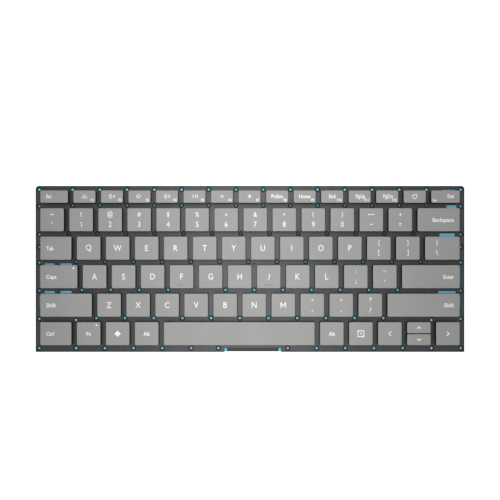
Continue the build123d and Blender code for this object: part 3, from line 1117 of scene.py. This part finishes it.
class KEYBOARD_OT_domes(bpy.types.Operator):
    """Model a rubber dome and put one under every key"""

    bl_idname = "keyboard.domes"
    bl_label = "Domes"

    def execute(self, context):
        finish = coat("dome_rubber", context.scene.keyboard_colours)
        low, high = split_boxes("rubber_domes")[0]
        model = self.model_dome((high.x - low.x) / 2)
        give_finish(model, finish)
        for key in MOVING_KEYS:
            dome = copy_piece(model, "dome_" + key.name, key_middle(key))
            place_piece(dome, "base", "dome_rubber", "rubber_domes")
            flatten(dome)
        still = [copy_piece(model, "dome", key_middle(key)) for key in KEYS.values() if key.body == "base"]
        place_piece(join(still, "domes_command"), "base", "dome_rubber", "rubber_domes")
        remove(model)
        return {"FINISHED"}

    @staticmethod
    def model_dome(radius):
        """A foot, a sloping wall and a post that meets the keycap, about the origin."""
        height = DOME_Z - SEAT_Z
        top = SEAT_Z + DOME_FOOT * height
        dome = add_drum("dome", (0, 0), radius, SEAT_Z, top, sides=20)
        select_faces(dome, face_up)
        for rise, narrowing in DOME_STEPS:
            pull_faces(rise * height)
            bpy.ops.transform.resize(value=(narrowing, narrowing, 1), center_override=(0, 0, top))
        close_shape(dome, angle=40)
        return dome


class KEYBOARD_OT_scissors(bpy.types.Operator):
    """Round off one pair of packed links, add its pivots and put a pair under every moving key"""

    bl_idname = "keyboard.scissors"
    bl_label = "Scissors"

    def execute(self, context):
        sizes, colours = context.scene.keyboard_sizes, context.scene.keyboard_colours
        home = KEYS["q"]
        parts = [self.take_link(node, home) for node in ("scissor_outer_links", "scissor_inner_links")]
        (outer_low, outer_high), (inner_low, inner_high) = map(box_of, parts)
        reach = (outer_high.x - outer_low.x) / 2
        inside = (inner_high.x - inner_low.x) / 2 - (outer_high.x - inner_high.x)
        middle = middle_of(outer_low, outer_high)
        for side in (-1, 1):
            ends = [middle + Vector((side * x, 0, 0)) for x in (inside, reach)]
            parts.append(draw_bar("pivot", ends, sizes.link_pivot))
        model = join(parts, "scissor")
        give_finish(model, coat("link_plastic", colours))
        for key in MOVING_KEYS:
            pair = copy_piece(model, "scissor_" + key.name, key_middle(key) - key_middle(home))
            place_piece(pair, "base", "link_plastic", "scissor_outer_links", "scissor_inner_links")
            flatten(pair)
        remove(model)
        return {"FINISHED"}

    @staticmethod
    def take_link(node, home):
        """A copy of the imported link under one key, with its edges rounded."""
        links = split_node(node)
        link = min(links, key=lambda one: (middle_of(*box_of(one)) - key_middle(home)).xy.length)
        remove(*[one for one in links if one is not link])
        edit(link)
        bpy.ops.mesh.select_all(action="SELECT")
        bpy.ops.mesh.dissolve_limited(angle_limit=math.radians(1))
        bpy.ops.mesh.select_all(action="SELECT")
        bpy.ops.mesh.bevel(offset=bpy.context.scene.keyboard_sizes.link_edge, segments=2, affect="EDGES")
        close_shape(link)
        return link


class KEYBOARD_OT_wires(bpy.types.Operator):
    """Bend the round wires that keep the wide keys level"""

    bl_idname = "keyboard.wires"
    bl_label = "Wires"

    def execute(self, context):
        sizes, colours = context.scene.keyboard_sizes, context.scene.keyboard_colours
        finish = coat("wire_steel", colours)
        hinge = next(joint for joint in frame["joints"] if joint["name"] == "turn_space_wire")
        pivot = key_middle(KEYS["space"])
        pivot.yz = hinge["pos_m"][1:]
        low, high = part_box("space_wire")
        long_wire = self.bend_wire("wire_space", pivot, high.x - low.x - 2 * sizes.wire_pin, sizes.wire_pin)
        give_finish(long_wire, finish)
        place_piece(long_wire, "space_wire", "wire_steel", "space_wire")
        shift = pivot - key_middle(KEYS["space"])
        wires = []
        for box in split_boxes("stabiliser_wires"):
            middle = middle_of(*box)
            key = min(KEYS.values(), key=lambda one: (key_middle(one) - middle).xy.length)
            wires.append(self.bend_wire("wire", key_middle(key) + shift, box[1].x - box[0].x, 0))
            give_finish(wires[-1], finish)
        place_piece(join(wires, "wires_command"), "base", "wire_steel", "stabiliser_wires")
        return {"FINISHED"}

    @staticmethod
    def bend_wire(name, pivot, width, pin):
        """A bar on two legs that lean up from their pivot, with pins where it turns."""
        sizes = bpy.context.scene.keyboard_sizes
        radius = sizes.wire / 2
        leg_x = width / 2 - radius
        half = [Vector((leg_x, -sizes.wire_leg, 0)), Vector((leg_x, 0, 0))]
        if pin:
            half.append(Vector((width / 2 + pin, 0, 0)))
        else:
            half[1].y = radius
        line = [Vector((-point.x, point.y, 0)) for point in reversed(half)] + half
        lean = Matrix.Rotation(-math.asin(TRAVEL / sizes.wire_leg), 4, "X")
        wire = draw_bar(name, [pivot + lean @ point for point in line], sizes.wire, bend=sizes.wire_bend)
        close_shape(wire, angle=50)
        return wire


def flatten(piece):
    """Give a piece under a key a mesh of its own."""
    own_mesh(piece)


def seen_white(finish):
    """1 for the rays that show the white background: from the camera, in gloss and through clear things."""
    rays = add_node(finish, "LightPath", {}).outputs
    seen = combine(finish, "MAXIMUM", rays["Is Camera Ray"], rays["Is Glossy Ray"])
    return combine(finish, "MAXIMUM", seen, rays["Is Transmission Ray"])


def floor_finish(stage, shade):
    """A plain pale floor, seen brighter by the camera than it is lit."""
    settings = {"Roughness": 0.9, "Specular IOR Level": 0.1, "Emission Color": (1, 1, 1, 1)}
    finish, shader, place = start_finish("floor", settings)
    tint(finish, add_noise(finish, place, 0.4), shade_of(shade, 0.99), shade, shader.inputs["Base Color"])
    vary(finish, seen_white(finish), 0, stage.floor_glow, shader.inputs["Emission Strength"])
    return finish


def surround(stage):
    """White all round for the camera, and a modest light for everything else."""
    world = bpy.data.worlds.new("surround")
    world.use_nodes = True
    background = world.node_tree.nodes["Background"]
    background.inputs["Color"].default_value = (1, 1, 1, 1)
    vary(world, seen_white(world), stage.ambient, 1, background.inputs["Strength"])
    return world


class KEYBOARD_OT_stage(bpy.types.Operator):
    """Set up the floor, the soft lamp and the camera over the keyboard"""

    bl_idname = "keyboard.stage"
    bl_label = "Stage"

    def execute(self, context):
        scene = context.scene
        stage = scene.keyboard_stage
        deselect()
        bpy.ops.mesh.primitive_plane_add(size=stage.floor_width, location=(0, 0, -stage.floor_gap))
        floor = context.object
        floor.name = "floor"
        give_finish(floor, floor_finish(stage, scene.keyboard_colours.floor))
        place = (-stage.lamp_left, stage.lamp_back, stage.lamp_height)
        bpy.ops.object.light_add(type="AREA", location=place)
        lamp = context.object
        lamp.name = "soft_lamp"
        lamp.data.shape = "RECTANGLE"
        lamp.data.size = stage.lamp_width
        lamp.data.size_y = stage.lamp_depth
        lamp.data.energy = stage.lamp_power
        lamp.visible_camera = False
        above = (0, stage.camera_back, CAP_Z + stage.camera_height)
        bpy.ops.object.camera_add(location=above, rotation=(0, 0, 0))
        camera = context.object
        camera.name = "camera"
        camera.data.lens = camera.data.sensor_width * stage.camera_height / stage.view_width
        camera.data.shift_y = stage.picture_drop
        camera.data.clip_start = NEAREST_SEEN * stage.camera_height
        scene.camera = camera
        scene.world = surround(stage)
        scene.view_settings.view_transform = "Standard"
        return {"FINISHED"}


class KEYBOARD_PT_sidebar(bpy.types.Panel):
    """Sizes, finishes and steps of the keyboard"""

    bl_idname = "KEYBOARD_PT_sidebar"
    bl_label = "Laptop Keyboard"
    bl_space_type = "VIEW_3D"
    bl_region_type = "UI"
    bl_category = "Keyboard"

    def draw(self, context):
        scene, layout = context.scene, self.layout
        for step in STEPS:
            layout.operator(step.bl_idname)
        for group in (scene.keyboard_sizes, scene.keyboard_colours, scene.keyboard_stage):
            box = layout.box()
            for name in group.__annotations__:
                box.prop(group, name)


STEPS = (
    KEYBOARD_OT_plate,
    KEYBOARD_OT_films,
    KEYBOARD_OT_domes,
    KEYBOARD_OT_scissors,
    KEYBOARD_OT_wires,
    KEYBOARD_OT_keycaps,
    KEYBOARD_OT_stage,
)
GROUPS = {
    "keyboard_sizes": KeyboardSizes,
    "keyboard_colours": KeyboardColours,
    "keyboard_stage": KeyboardStage,
}
CLASSES = (*GROUPS.values(), *STEPS, KEYBOARD_PT_sidebar)


def register():
    for one in CLASSES:
        bpy.utils.register_class(one)
    for name, group in GROUPS.items():
        setattr(bpy.types.Scene, name, PointerProperty(type=group))


def unregister():
    for name in GROUPS:
        delattr(bpy.types.Scene, name)
    for one in reversed(CLASSES):
        bpy.utils.unregister_class(one)


def main():
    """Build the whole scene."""
    register()
    bpy.ops.keyboard.plate()
    bpy.ops.keyboard.films()
    bpy.ops.keyboard.domes()
    bpy.ops.keyboard.scissors()
    bpy.ops.keyboard.wires()
    bpy.ops.keyboard.keycaps()
    bpy.ops.keyboard.stage()


if __name__ == "__main__":
    main()
